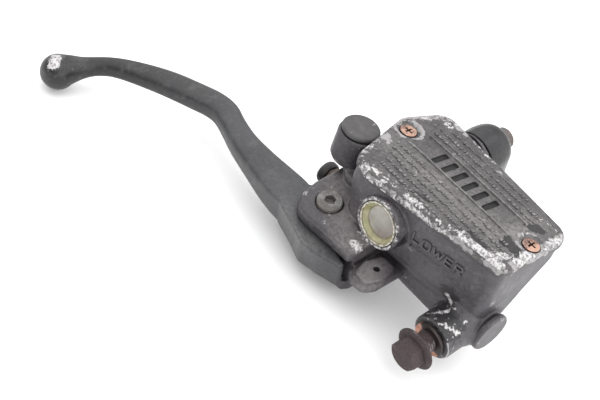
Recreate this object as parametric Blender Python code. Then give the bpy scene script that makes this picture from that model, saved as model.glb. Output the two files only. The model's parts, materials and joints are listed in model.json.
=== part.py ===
"""Front brake master cylinder for a motorcycle handlebar, right hand side.

Origin: on the handlebar axis, halfway along the clamp. +X runs along the bar to its
middle (inboard), +Y towards the rider, +Z up with the reservoir cover level.
The cylinder, the clevis and the lever sit in a second frame (x, u, w), tipped forward
by LEVER_TILT about the bore axis. All numbers below are millimetres and degrees.
The drawing's x starts CLAMP_X outboard of the clamp's middle, and finish() moves the
pieces so that the origin is at the clamp's middle.
"""

import math

import bmesh
import bpy
from mathutils import Matrix, Vector

MM = 0.001
FIT = 0.3
LEVER_TILT = 12.0

# handlebar clamp
BAR_RADIUS = 11.1
CLAMP_HALF_WIDTH = 12.3
CLAMP_SCREW_Z = 18.8
CLAMP_DEPTH = 17.6
CLAMP_X = 3.0
CLAMP_JOINT = 1.3

# reservoir and cover
COVER_TOP = 30.5
COVER_THICKNESS = 5.0
COVER_CORNERS = [(-12.5, -74), (67.8, -58.2), (67.6, -12.2), (-17.5, -5.6), (-24.6, -30)]
COVER_RADII = [11, 6, 8.5, 9, 12]
SLOT_DEPTH = 1.35
SCREW_Y = -34.0
SCREW_X_OUTBOARD = -15.8
SCREW_X_INBOARD = 61.8
POCKET_FLOOR = 0.0
SIGHT_X = 11.5
SIGHT_Z = 11.4
SIGHT_RADIUS = 12.4
SIGHT_FACE_Y = -72.0
GLASS_RADIUS = 10.3
LEVEL_Z = 9.7

# cylinder, in the tipped frame with u = w = 0 on the bore axis
BORE_Y = -47.9
BORE_Z = -10.3
BORE_RADIUS = 7.0
TUBE_RADIUS = 12.2
MOUTH_X = -11.0
BORE_END_X = 65.0
END_FACE_X = 72.3
OUTLET_X = 58.5
OUTLET_RADIUS = 10.5
OUTLET_FACE_U = -23.4

# lever pivot, in the tipped frame
PIVOT_X = -15.5
PIVOT_U = -21.4
ADJUSTER = (-0.8, -0.8)
EAR_INNER = 7.7
EAR_OUTER = 14.9

# mirror boss
MIRROR_X = -29.8
MIRROR_Y = -49.3
MIRROR_RADIUS = 10.1
MIRROR_TOP = 22.7
MIRROR_BOTTOM = 8.0

TIPPED = Matrix.Translation((0, BORE_Y, BORE_Z)) @ Matrix.Rotation(math.radians(LEVER_TILT), 4, "X")
CLAMP = Matrix.Translation((CLAMP_X, 0, 0)) @ Matrix.Rotation(math.radians(LEVER_TILT), 4, "X")
LEVEL = Matrix.Identity(4)


def tipped(x, u, w):
    """World position of a point given in the tipped frame."""
    return TIPPED @ Vector((x, u, w))


# ---------------------------------------------------------------- shape helpers


def new_object(name, bm):
    bmesh.ops.remove_doubles(bm, verts=bm.verts, dist=0.0005)
    bmesh.ops.recalc_face_normals(bm, faces=bm.faces)
    mesh = bpy.data.meshes.new(name)
    bm.to_mesh(mesh)
    bm.free()
    obj = bpy.data.objects.new(name, mesh)
    bpy.context.scene.collection.objects.link(obj)
    return obj


def combine(base, tool, operation):
    """Applies a Boolean and removes the tool."""
    modifier = base.modifiers.new("combine", "BOOLEAN")
    modifier.operation = operation
    modifier.solver = "EXACT"
    modifier.object = tool
    bpy.context.view_layer.update()
    graph = bpy.context.evaluated_depsgraph_get()
    mesh = bpy.data.meshes.new_from_object(base.evaluated_get(graph))
    base.modifiers.clear()
    bm = bmesh.new()
    bm.from_mesh(mesh)
    bmesh.ops.remove_doubles(bm, verts=bm.verts, dist=0.002)
    bmesh.ops.dissolve_degenerate(bm, dist=0.002, edges=bm.edges)
    bm.to_mesh(mesh)
    bm.free()
    base.data = mesh
    bpy.data.objects.remove(tool)
    return base


def add(base, *tools):
    for tool in tools:
        combine(base, tool, "UNION")
    return base


def cut(base, *tools):
    for tool in tools:
        combine(base, tool, "DIFFERENCE")
    return base


def rounded(corners, radii, steps=5):
    """Polygon with each corner replaced by an arc."""
    points = []
    count = len(corners)
    for i, corner in enumerate(corners):
        here = Vector(corner).to_2d()
        before = (Vector(corners[i - 1]).to_2d() - here).normalized()
        after = (Vector(corners[(i + 1) % count]).to_2d() - here).normalized()
        radius = radii[i] if isinstance(radii, (list, tuple)) else radii
        half = before.angle(after) / 2
        if radius <= 0:
            points.append(here)
            continue
        reach = radius / math.tan(half)
        centre = here + (before + after).normalized() * (radius / math.sin(half))
        start = here + before * reach - centre
        end = here + after * reach - centre
        sweep = start.angle_signed(end)
        for k in range(steps + 1):
            turn = Matrix.Rotation(-sweep * k / steps, 2)
            points.append(centre + turn @ start)
    return points


def inset(points, distance):
    """Moves each point inwards along the mean of its two edge normals."""
    count = len(points)
    area = sum(points[i - 1].cross(points[i]) for i in range(count))
    side = 1 if area > 0 else -1
    result = []
    for i in range(count):
        ahead = (points[(i + 1) % count] - points[i]).normalized()
        behind = (points[i] - points[i - 1]).normalized()
        normal = Vector((-ahead.y - behind.y, ahead.x + behind.x))
        if normal.length < 1e-6:
            normal = Vector((-ahead.y, ahead.x))
        result.append(points[i] + normal.normalized() * distance * side)
    return result


def loft(name, sections, frame=LEVEL):
    """Closed body through loops of 3-D points with equal counts."""
    bm = bmesh.new()
    rings = []
    for section in sections:
        ring = [bm.verts.new(frame @ Vector(point)) for point in section]
        rings.append(ring)
    count = len(rings[0])
    for low, high in zip(rings, rings[1:]):
        for i in range(count):
            j = (i + 1) % count
            bm.faces.new((low[i], low[j], high[j], high[i]))
    bm.faces.new(list(reversed(rings[0])))
    bm.faces.new(rings[-1])
    return new_object(name, bm)


def slab(name, outline, low, high, edge=0.0, frame=LEVEL):
    """Extruded outline with softened upper and lower edges."""
    levels = [(low, edge), (high, edge)]
    if edge > 0:
        levels = [(low, edge), (low + edge * 0.3, edge * 0.3), (low + edge, 0)]
        levels += [(high - edge, 0), (high - edge * 0.3, edge * 0.3), (high, edge)]
    sections = []
    for height, shrink in levels:
        loop = inset(outline, shrink) if shrink else outline
        sections.append([(p.x, p.y, height) for p in loop])
    return loft(name, sections, frame)


def axis_frame(origin, direction):
    """Frame whose local Z runs along the direction from the origin."""
    turn = Vector(direction).normalized().to_track_quat("Z", "Y").to_matrix().to_4x4()
    return Matrix.Translation(origin) @ turn


def lathe(name, profile, origin, direction, sides=32):
    """Solid of revolution from (radius, height) pairs. Radius 0 closes the end."""
    frame = axis_frame(origin, direction)
    bm = bmesh.new()
    rings = []
    for radius, height in profile:
        if radius <= 0:
            rings.append([bm.verts.new(frame @ Vector((0, 0, height)))])
            continue
        ring = []
        for k in range(sides):
            angle = 2 * math.pi * k / sides
            point = Vector((radius * math.cos(angle), radius * math.sin(angle), height))
            ring.append(bm.verts.new(frame @ point))
        rings.append(ring)
    pairs = list(zip(rings, rings[1:]))
    if profile[0][0] > 0:
        pairs.append((rings[-1], rings[0]))
    for first, second in pairs:
        for k in range(sides):
            n = (k + 1) % sides
            if len(first) == 1:
                bm.faces.new((first[0], second[n], second[k]))
            elif len(second) == 1:
                bm.faces.new((first[k], first[n], second[0]))
            else:
                bm.faces.new((first[k], first[n], second[n], second[k]))
    return new_object(name, bm)


def rod(name, radius, start, length, direction, sides=32, chamfer=0.0):
    """Cylinder from a start point along a direction, with chamfered ends."""
    profile = [(0, 0), (radius, 0), (radius, length), (0, length)]
    if chamfer > 0:
        profile = [(0, 0), (radius - chamfer, 0), (radius, chamfer)]
        profile += [(radius, length - chamfer), (radius - chamfer, length), (0, length)]
    return lathe(name, profile, start, direction, sides)


def box(name, low, high, frame=LEVEL):
    corners = [(low[0], low[1]), (high[0], low[1]), (high[0], high[1]), (low[0], high[1])]
    outline = [Vector(corner) for corner in corners]
    return slab(name, outline, low[2], high[2], 0, frame)


def hexagon(name, across_flats, origin, length, direction):
    radius = across_flats / math.sqrt(3)
    return lathe(name, [(0, 0), (radius, 0), (radius, length), (0, length)], origin, direction, 6)


def direction(x, u, w):
    """World direction of a vector given in the tipped frame."""
    return TIPPED.to_3x3() @ Vector((x, u, w))


UP = direction(0, 0, 1)
DOWN = direction(0, 0, -1)
FORWARD = direction(0, -1, 0)
INBOARD = Vector((1, 0, 0))
REAR = Vector((0, 1, 0))
CLAMP_REAR = CLAMP.to_3x3() @ REAR
TOP = Vector((0, 0, 1))


# ---------------------------------------------------------------- finishing


def material(name, colour, roughness, metallic=0.0, transmission=0.0):
    found = bpy.data.materials.new(name)
    found.use_nodes = True
    shader = found.node_tree.nodes["Principled BSDF"]
    shader.inputs["Base Color"].default_value = (*colour, 1)
    shader.inputs["Roughness"].default_value = roughness
    shader.inputs["Metallic"].default_value = metallic
    shader.inputs["Transmission Weight"].default_value = transmission
    return found


def finish(obj, paint, origin=(0, 0, 0), sharp=35.0):
    """Gives the piece its material, its smooth shading and its origin in millimetres."""
    obj.data.transform(Matrix.Scale(MM, 4) @ Matrix.Translation(-Vector(origin)))
    obj.location = (Vector(origin) - Vector((CLAMP_X, 0, 0))) * MM
    obj.data.materials.clear()
    obj.data.materials.append(paint)
    for face in obj.data.polygons:
        face.material_index = 0
    obj.data.shade_smooth()
    obj.data.set_sharp_from_angle(angle=math.radians(sharp))
    return obj


# ---------------------------------------------------------------- body


def cover_outline(shrink=0.0):
    outline = rounded(COVER_CORNERS, COVER_RADII, 6)
    return inset(outline, shrink) if shrink else outline


def middle_of(first, second, part):
    return [a.lerp(b, part) for a, b in zip(first, second)]


def reservoir_walls():
    """Walls that stand straight at the front and lean in at the rear towards the cylinder."""
    top = cover_outline(1.0)
    middle = rounded([(-9, -70.4), (67, -57), (67, -25.5), (-12, -22), (-20, -38)], COVER_RADII, 6)
    low = rounded([(-6, -63), (67, -55), (67, -34), (-6, -31), (-13, -42)], [6, 5, 5, 6, 8], 6)
    rim = COVER_TOP - COVER_THICKNESS - FIT
    levels = [(-13.5, inset(low, 2.5)), (-10, low), (-1, middle), (3, middle_of(middle, top, 0.15))]
    levels += [(18, top), (rim, top)]
    sections = []
    for height, outline in levels:
        sections.append([(p.x, p.y, height) for p in outline])
    return loft("master_body", sections)


def reservoir_pocket():
    rim = COVER_TOP - COVER_THICKNESS
    top = rounded([(-7, -68.7), (54.5, -56.6), (54.5, -14.5), (-8, -10.5), (-9.5, -33)], 6, 4)
    low = rounded([(1, -65), (53, -54.5), (53, -31), (0, -29), (-1, -42)], [5, 5, 5, 5, 8], 4)
    sections = [[(p.x, p.y, POCKET_FLOOR) for p in low]]
    sections.append([(p.x, p.y, 18) for p in top])
    sections.append([(p.x, p.y, rim + 1) for p in top])
    return loft("pocket", sections)


def clevis_block():
    corners = [(-28.9, 12.3), (-29.1, -18.4), (-27.4, -27.7), (-22.2, -34.4), (-15.1, -34.8)]
    corners += [(10.6, -32.3), (12.6, -28.7), (12.6, 10.2)]
    radii = [3, 6, 5, 6, 4, 2, 3, 2]
    block = slab("clevis", rounded(corners, radii, 5), -EAR_OUTER, EAR_OUTER, 1.7, TIPPED)
    return block


def clevis_slot():
    """Room between the ears for the lever root, its tail and its knocker."""
    corners = [(-66, 14), (-66, -62), (13.1, -62), (13.1, -29.3), (0.3, -29.3), (-1.7, -26.6)]
    corners += [(-1.7, 14)]
    outline = rounded(corners, [0, 0, 0, 0, 2, 3, 0], 4)
    return slab("slot", outline, -EAR_INNER, EAR_INNER, 0, TIPPED)


def tube():
    """Cylinder casting with its necked end face."""
    end = END_FACE_X - MOUTH_X
    profile = [(0, 0), (TUBE_RADIUS - 1, 0), (TUBE_RADIUS, 1), (TUBE_RADIUS, end - 9)]
    profile += [(TUBE_RADIUS - 3, end - 6.5), (8.4, end - 5), (8.4, end - 3.6)]
    profile += [(9.1, end - 3.2), (9.7, end - 2.6), (9.7, end - 0.8), (9.1, end), (0, end)]
    return lathe("tube", profile, tipped(MOUTH_X, 0, 0), INBOARD, 48)


def outlet_boss():
    depth = -OUTLET_FACE_U
    radius = OUTLET_RADIUS
    profile = [(0, 0), (radius + 1.5, 0), (radius + 1.2, 9), (radius, 13)]
    profile += [(radius, depth - 0.6), (radius - 0.6, depth), (0, depth)]
    return lathe("outlet", profile, tipped(OUTLET_X, 0, 0), FORWARD, 40)


def mirror_boss():
    height = MIRROR_TOP - MIRROR_BOTTOM
    radius = MIRROR_RADIUS
    profile = [(0, -2.4), (radius - 3.5, -2.2), (radius - 1.2, -1.2), (radius, 0.8)]
    profile += [(radius, height - 0.8), (radius - 0.8, height), (0, height)]
    return lathe("mirror", profile, (MIRROR_X, MIRROR_Y, MIRROR_BOTTOM), TOP, 40)


def mirror_web():
    """Wedge that ties the mirror boss to the upper ear and the reservoir."""
    corners = [(-28.9, 12), (-28.9, -2), (-21, -8), (-6, -8), (-6, 14), (-22, 14)]
    outline = rounded(corners, [4, 4, 4, 1, 1, 4], 4)
    return slab("web", outline, 8.4, 19.5, 1.2, TIPPED)


def clamp_profile(half_width, radius):
    """Upright outline in x and z: a rectangle with round ends about the two screws."""
    points = []
    for k in range(25):
        angle = math.pi * k / 24
        points.append(Vector((radius * math.cos(angle), CLAMP_SCREW_Z + radius * math.sin(angle))))
    for k in range(25):
        angle = math.pi + math.pi * k / 24
        points.append(Vector((radius * math.cos(angle), -CLAMP_SCREW_Z + radius * math.sin(angle))))
    return points


def clamp_slab(name, stations):
    """Clamp half through (y, radius) stations."""
    sections = []
    for y, radius in stations:
        loop = clamp_profile(radius, radius)
        sections.append([(p.x, y, p.y) for p in loop])
    return loft(name, sections, CLAMP)


def clamp_arm():
    low = [(-10.5, -43, -19.5), (14, -43, -19.5), (14, -43, 4), (-10.5, -43, 4)]
    mid = [(-10.5, -27, -18.5), (12, -27, -18.5), (12, -27, 12), (-10.5, -27, 12)]
    left = CLAMP_X - 10.5
    right = CLAMP_X + 10.5
    high = [(left, -14, -19), (right, -14, -19), (right, -14, 13), (left, -14, 13)]
    return loft("arm", [low, mid, high])


def switch_lug():
    corners = [(9.5, -29.8), (12.9, -32.6), (18, -35.2), (24.6, -34.2), (27.4, -29), (27.8, -17), (27.8, -5), (9.5, -5)]
    plate = slab("lug", rounded(corners, [2, 3, 3, 4, 5, 3, 0, 0], 4), 1.2, 4.2, 0.7, TIPPED)
    corners = [(16.2, -32), (14.4, -25.1), (17.2, -16), (25.6, -16), (26.9, -24.6), (23.9, -32.4)]
    pad = slab("pad", rounded(corners, 2, 3), 3.5, 7.2, 0.3, TIPPED)
    return add(plate, pad)


def sight_boss():
    depth = 12.0
    profile = [(0, 0), (SIGHT_RADIUS + 0.8, 0), (SIGHT_RADIUS + 0.2, depth - 2.4)]
    profile += [(SIGHT_RADIUS, depth - 0.7), (SIGHT_RADIUS - 0.7, depth), (0, depth)]
    return lathe("sight", profile, (SIGHT_X, SIGHT_FACE_Y + depth, SIGHT_Z), -REAR, 48)


def level_mark():
    """Raised line for the lowest fluid level, level with the middle of the sight glass."""
    low = (27, -74, LEVEL_Z - 0.6)
    high = (49.5, -57, LEVEL_Z + 0.6)
    line = box("line", low, high)
    corners = [(26, -66.3), (50, -61.6), (50, -56), (26, -56)]
    keep = slab("keep", [Vector(corner) for corner in corners], 0, 20)
    return combine(line, keep, "INTERSECT")


def cover_clearance():
    """Keeps the lugs and bosses out of the cover."""
    return slab("clearance", cover_outline(-0.5), COVER_TOP - COVER_THICKNESS - FIT, 50)


def body_cutters():
    """Every hole and seat in the casting."""
    tools = [reservoir_pocket()]
    tools.append(rod("bore", BORE_RADIUS, tipped(MOUTH_X + 5, 0, 0), BORE_END_X - MOUTH_X - 5, INBOARD, 32))
    tools.append(rod("mouth", 9.0, tipped(MOUTH_X - 2, 0, 0), 7.5, INBOARD, 32))
    tools.append(rod("supply", 1.6, (8, BORE_Y, BORE_Z + 1), 14, TOP, 10))
    tools.append(rod("return", 0.8, (24.4, BORE_Y, BORE_Z + 1), 14, TOP, 8))
    tools.append(rod("thread", 5.1, tipped(OUTLET_X, OUTLET_FACE_U - 1, 0), 15, -FORWARD, 32))
    tools.append(rod("outlet", 2.5, tipped(OUTLET_X, -11, 0), 9, -FORWARD, 16))
    tools.append(rod("mirror", 5.0, (MIRROR_X, MIRROR_Y, MIRROR_BOTTOM + 1.5), 16, TOP, 24))
    tools.append(rod("glass", GLASS_RADIUS + 0.4, (SIGHT_X, SIGHT_FACE_Y - 1, SIGHT_Z), 6.2, REAR, 48))
    tools.append(rod("window", 7.8, (SIGHT_X, SIGHT_FACE_Y + 4, SIGHT_Z), 9, REAR, 32))
    for x in (SCREW_X_OUTBOARD, SCREW_X_INBOARD):
        tools.append(rod("screw", 2.3, (x, SCREW_Y, 14.5), 14, TOP, 16))
    tools.append(rod("pivot", 4.3, tipped(PIVOT_X, PIVOT_U, -20), 40, UP, 24))
    tools.append(rod("head", 6.4, tipped(PIVOT_X, PIVOT_U, 13.8), 5, UP, 32))
    tools.append(rod("bar", BAR_RADIUS, (-40, 0, 0), 80, INBOARD, 64))
    for z in (CLAMP_SCREW_Z, -CLAMP_SCREW_Z):
        tools.append(rod("clamp", 3.3, CLAMP @ Vector((0, -13.5, z)), 20, CLAMP_REAR, 16))
    tools.append(rod("switch", 1.5, tipped(20.8, -23.2, -3), 14, UP, 16))
    return tools


def build_body(paint):
    body = reservoir_walls()
    add(body, clevis_block(), mirror_web(), clamp_arm(), switch_lug())
    cut(body, clevis_slot())
    stations = [(-20, 8.5), (-17, CLAMP_HALF_WIDTH), (CLAMP_JOINT - 0.3, CLAMP_HALF_WIDTH)]
    add(body, tube(), outlet_boss(), mirror_boss(), clamp_slab("saddle", stations))
    add(body, sight_boss(), level_mark())
    cut(body, cover_clearance(), *body_cutters())
    return finish(body, paint)


# ---------------------------------------------------------------- reservoir pieces


def build_cover(paint):
    low = COVER_TOP - COVER_THICKNESS
    outline = cover_outline()
    sections = []
    top = COVER_TOP
    levels = [(low, 0.5), (low + 0.5, 0.05), (top - 1.9, 0), (top - 0.9, 0.4), (top - 0.25, 1.1)]
    for height, shrink in levels:
        loop = inset(outline, shrink) if shrink else outline
        sections.append([(p.x, p.y, height) for p in loop])
    sections.append([(p.x, p.y, COVER_TOP) for p in inset(outline, 2.0)])
    cover = loft("reservoir_cover", sections)
    for side in (-1, 1):
        y = SCREW_Y + side * 6.5
        add(cover, box("ridge", (-9.5, y - 0.35, 30), (54, y + 0.35, COVER_TOP + 0.35)))
    for k in range(6):
        x = 3.2 + k * 6.4
        corners = [(x, -38.6), (x + 3.0, -39.0), (x + 3.4, -29.4), (x + 0.4, -29.0)]
        outline = rounded(corners, 0.6, 2)
        cut(cover, slab("slot", outline, COVER_TOP - SLOT_DEPTH, COVER_TOP + 2, 0))
    pocket = rounded([(-7, -68.7), (54.5, -56.6), (54.5, -14.5), (-8, -10.5), (-9.5, -33)], 6, 4)
    cut(cover, slab("hollow", pocket, low - 1, low + 2.8))
    for x in (SCREW_X_OUTBOARD, SCREW_X_INBOARD):
        sink = [(0, -8), (2.4, -8), (2.4, -3.2), (4.4, -1.2), (4.4, -0.9), (5.4, -0.8), (6.0, 0.1), (6.0, 1), (0, 1)]
        cut(cover, lathe("sink", sink, (x, SCREW_Y, COVER_TOP), TOP, 32))
    return finish(cover, paint)


def build_diaphragm_plate(paint):
    low = COVER_TOP - COVER_THICKNESS
    outline = rounded([(-6.2, -67.8), (53.7, -56), (53.7, -15.3), (-7.2, -11.4), (-8.6, -33)], 5.5, 4)
    plate = slab("diaphragm_plate", outline, low + 0.6, low + 2.3, 0)
    hollow = rounded([(4, -58), (45, -50), (45, -26), (4, -24)], 5, 4)
    cut(plate, slab("hole", hollow, low, low + 5))
    cut(plate, box("vent", (-9, -34.6, low), (3, -33.4, low + 1.2)))
    return finish(plate, paint)


def build_diaphragm(paint):
    """Rubber bellows: a rim under the plate and a folded cup that hangs into the fluid."""
    rim = rounded([(-6.2, -67.8), (53.7, -56), (53.7, -15.3), (-7.2, -11.4), (-8.6, -33)], 5.5, 4)
    low = COVER_TOP - COVER_THICKNESS
    body = slab("diaphragm", rim, low - 1.4, low + 0.3, 0)
    cup = rounded([(3, -61), (47, -52), (47, -24), (3, -22)], 5, 4)
    hollow = inset(cup, 1.4)
    add(body, slab("cup", cup, low - 9, low - 0.5, 0.8))
    cut(body, slab("hollow", hollow, low - 7.6, low + 2, 0))
    return finish(body, paint)


def cross_recess(origin, depth, reach):
    """Tapered cross cutter for a recessed screw head."""
    tools = []
    for turn in (0, 90):
        frame = Matrix.Translation(origin) @ Matrix.Rotation(math.radians(turn), 4, "Z")
        low = [(-reach * 0.35, -0.35), (reach * 0.35, -0.35), (reach * 0.35, 0.35), (-reach * 0.35, 0.35)]
        high = [(-reach, -0.5), (reach, -0.5), (reach, 0.5), (-reach, 0.5)]
        sections = [[(x, y, -depth) for x, y in low], [(x, y, 0.3) for x, y in high]]
        tools.append(loft("cross", sections, frame))
    return tools


def build_cover_screw(name, x, paint):
    profile = [(0, -14.9), (1.4, -14.9), (1.9, -14.2), (1.9, -2.4), (4.0, -0.55), (4.0, -0.1), (3.0, 0.1), (0, 0.2)]
    place = (x, SCREW_Y, COVER_TOP - 0.6)
    screw = lathe(name, profile, place, TOP, 20)
    cut(screw, *cross_recess(place, 2.2, 2.3))
    return finish(screw, paint)


def build_sight_glass(paint):
    profile = [(0, 2.1), (4, 2.15), (7.2, 2.2), (7.7, 1.8), (8.4, 1.1), (9.1, 0.4), (9.4, 0)]
    profile += [(GLASS_RADIUS, 0), (GLASS_RADIUS, 3.6), (0, 3.6)]
    glass = lathe("sight_glass", profile, (SIGHT_X, SIGHT_FACE_Y + 0.8, SIGHT_Z), REAR, 48)
    return finish(glass, paint)


def build_sight_ring(paint):
    """Snap ring that holds the glass in its seat."""
    profile = [(9.5, 0.15), (9.7, 0), (GLASS_RADIUS, 0), (GLASS_RADIUS, 0.5), (9.5, 0.5)]
    ring = lathe("sight_glass_ring", profile, (SIGHT_X, SIGHT_FACE_Y, SIGHT_Z), REAR, 48)
    return finish(ring, paint)


def build_port_shield(paint):
    """Small bent cover over the two ports in the floor."""
    outline = rounded([(3, -52.5), (29, -52.5), (29, -43.3), (3, -43.3)], 2, 3)
    shield = slab("port_shield", outline, POCKET_FLOOR + 0.3, POCKET_FLOOR + 2.6, 0)
    hollow = rounded([(4, -51.5), (28, -51.5), (28, -44.3), (4, -44.3)], 1.5, 3)
    cut(shield, slab("hollow", hollow, POCKET_FLOOR - 1, POCKET_FLOOR + 1.8))
    for x in (7, 16, 25):
        cut(shield, rod("vent", 1.0, (x, BORE_Y, POCKET_FLOOR + 1), 3, TOP, 10))
    return finish(shield, paint)


# ---------------------------------------------------------------- hydraulic pieces


def build_piston(paint):
    profile = [(0, -7.7), (3.2, -7.7), (4.0, -6.9), (4.0, 5.6), (6.6, 5.8), (6.6, 8.2), (4.4, 8.2)]
    profile += [(4.4, 12.4), (6.6, 12.4), (6.6, 14.6), (3.8, 15.4), (3.8, 26.6), (6.6, 27.4)]
    profile += [(6.6, 29.6), (2.4, 29.6), (2.4, 33.6), (0, 33.6)]
    piston = lathe("piston", profile, tipped(MOUTH_X, 0, 0), INBOARD, 32)
    return finish(piston, paint, tipped(MOUTH_X, 0, 0))


def build_cup(name, inner, start, length, paint):
    """Lipped rubber seal, open towards the pressure side."""
    outer = BORE_RADIUS - FIT
    profile = [(inner, 0), (outer - 0.5, 0), (outer, length), (outer - 1.0, length)]
    profile += [(inner + 0.9, length * 0.45), (inner, length * 0.45)]
    cup = lathe(name, profile, tipped(start, 0, 0), INBOARD, 28)
    return finish(cup, paint, tipped(start, 0, 0))


def build_spring(paint):
    """Return spring between the primary cup and the blind end of the bore."""
    start = MOUTH_X + 34.3
    end = BORE_END_X - 0.4
    radius = 5.6
    wire = 0.65
    turns = 9
    steps = 14
    sides = 6
    total = turns * steps
    sections = []
    for i in range(total + 1):
        angle = 2 * math.pi * i / steps
        along = i / total
        x = start + wire + (end - start - 2 * wire) * along
        centre = Vector((x, radius * math.cos(angle), radius * math.sin(angle)))
        outward = Vector((0, math.cos(angle), math.sin(angle)))
        ring = []
        for k in range(sides):
            turn = 2 * math.pi * k / sides
            ring.append(centre + outward * wire * math.cos(turn) + INBOARD * wire * math.sin(turn))
        sections.append(ring)
    spring = loft("return_spring", sections, TIPPED)
    return finish(spring, paint, tipped(start, 0, 0), 80)


def build_stop_washer(paint):
    profile = [(4.4, 0), (8.6, 0), (8.6, 1.0), (4.4, 1.0)]
    washer = lathe("piston_stop_washer", profile, tipped(MOUTH_X + 4.4, 0, 0), INBOARD, 32)
    return finish(washer, paint)


def build_circlip(paint):
    profile = [(6.4, 0), (8.6, 0), (8.6, 0.9), (6.4, 0.9)]
    ring = lathe("piston_circlip", profile, tipped(MOUTH_X + 3.1, 0, 0), INBOARD, 32)
    cut(ring, box("gap", (MOUTH_X + 2, -10, -1.6), (MOUTH_X + 5, -3, 1.6), TIPPED))
    return finish(ring, paint)


def build_boot(paint):
    """Dust boot: a foot inside the cylinder mouth, one fold and a neck on the piston."""
    outer = [(8.6, 2.7), (8.6, 0.5), (7.0, 0.1), (7.0, -0.6), (5.9, -1.4), (7.0, -2.6)]
    outer += [(6.2, -3.9), (5.6, -4.4), (5.6, -6.0)]
    inner = [(4.4, -6.0), (4.4, -3.6), (5.2, -3.0), (5.8, -2.4), (4.9, -1.5), (5.6, -0.2), (7.2, 0.9)]
    inner += [(7.2, 2.7)]
    boot = lathe("dust_boot", outer + inner, tipped(MOUTH_X, 0, 0), INBOARD, 28)
    return finish(boot, paint, tipped(MOUTH_X, 0, 0))


# ---------------------------------------------------------------- lever group


LEVER_STATIONS = [
    (-12.0, -5.1, 8.6, 7.26, 0.16),
    (-20.1, -5.0, 9.5, 7.26, 0.18),
    (-30.7, -4.9, 9.4, 6.9, 0.32),
    (-44.2, -4.2, 8.3, 6.3, 0.5),
    (-58.5, -3.0, 7.1, 5.9, 0.6),
    (-70.8, -0.3, 6.6, 5.5, 0.66),
    (-80.0, 1.8, 7.0, 5.3, 0.7),
    (-88.2, 0.8, 7.2, 5.2, 0.72),
    (-96.8, -2.7, 7.2, 5.1, 0.72),
    (-110.3, -8.8, 7.1, 5.0, 0.75),
    (-121.5, -15.2, 6.5, 4.9, 0.8),
    (-131.8, -22.2, 5.5, 4.8, 0.85),
    (-138.1, -27.9, 4.9, 4.7, 0.9),
    (-142.3, -34.2, 4.9, 4.8, 0.95),
    (-144.6, -39.2, 5.6, 5.5, 1.0),
    (-146.4, -43.4, 6.9, 6.8, 1.0),
    (-147.9, -47.6, 8.2, 8.1, 1.0),
    (-148.5, -49.8, 8.6, 8.6, 1.0),
]
BALL = (-148.8, -51.1, 9.1)


def smooth_path(points, parts):
    """Catmull-Rom curve through rows of numbers."""
    rows = []
    last = len(points) - 1
    for i in range(last):
        quad = [points[max(i - 1, 0)], points[i], points[i + 1], points[min(i + 2, last)]]
        for k in range(parts):
            t = k / parts
            row = []
            for a, b, c, d in zip(*quad):
                bend = 2 * a - 5 * b + 4 * c - d
                row.append(0.5 * (2 * b + (c - a) * t + bend * t * t + (3 * b - a - 3 * c + d) * t ** 3))
            rows.append(row)
    rows.append(list(points[-1]))
    return rows


def lever_frame():
    return TIPPED @ Matrix.Translation((PIVOT_X, PIVOT_U, 0))


def lever_blade():
    """Blade swept along its curve with a softly squared section."""
    rows = smooth_path(LEVER_STATIONS, 3)
    sections = []
    sides = 20
    for i, (p, q, half_width, half_height, bend) in enumerate(rows):
        ahead = Vector(rows[min(i + 1, len(rows) - 1)][:2])
        behind = Vector(rows[max(i - 1, 0)][:2])
        along = (ahead - behind).normalized()
        across = Vector((-along.y, along.x))
        ring = []
        for k in range(sides):
            angle = 2 * math.pi * (k + 0.5) / sides
            c = math.cos(angle)
            s = math.sin(angle)
            wide = math.copysign(abs(c) ** bend, c) * half_width
            tall = math.copysign(abs(s) ** bend, s) * half_height
            ring.append((p + across.x * wide, q + across.y * wide, tall))
        sections.append(ring)
    return loft("blade", sections, lever_frame())


def lever_root():
    corners = [(-19.5, 1.0), (-17.2, 5.0), (-16.2, 10), (-15.8, 18.4), (-15.8, 26.8), (-7.4, 26.8)]
    corners += [(-6.4, 18.4), (-2.6, 9.8), (6.7, 8.8), (9.8, 0), (11.3, -7.2), (14.8, -9.6)]
    corners += [(26.6, -12.1), (26.6, -15), (16.3, -18.5), (6.1, -20.7), (-4.1, -17.6)]
    corners += [(-17.0, -14.6), (-19.5, -11.0)]
    radii = [1.5, 2, 3, 4, 2.5, 2.5, 4, 4, 5, 4, 2, 3, 1, 1, 3, 2.5, 4, 4, 1.5]
    return slab("root", rounded(corners, radii, 4), -7.2, 7.2, 0.7, lever_frame())


def build_lever(paint):
    lever = lever_root()
    lever.name = "brake_lever"
    add(lever, lever_blade())
    steps = 12
    x, u, radius = BALL
    arc = [(radius * math.sin(math.pi * k / steps), -radius * math.cos(math.pi * k / steps))
           for k in range(steps + 1)]
    arc[0] = (0, -radius)
    arc[-1] = (0, radius)
    centre = tipped(PIVOT_X + x, PIVOT_U + u, 0)
    add(lever, lathe("ball", arc, centre, UP, 24))
    cut(lever, rod("eye", 5.4, tipped(PIVOT_X, PIVOT_U, -12), 24, UP, 28))
    cut(lever, rod("adjuster", 3.4, tipped(-40, *ADJUSTER), 22, INBOARD, 20))
    return finish(lever, paint, tipped(PIVOT_X, PIVOT_U, 0))


def build_bush(paint):
    profile = [(4.4, -7.1), (5.1, -7.1), (5.1, 7.1), (4.4, 7.1)]
    bush = lathe("lever_bush", profile, tipped(PIVOT_X, PIVOT_U, 0), UP, 28)
    return finish(bush, paint, tipped(PIVOT_X, PIVOT_U, 0))


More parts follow.
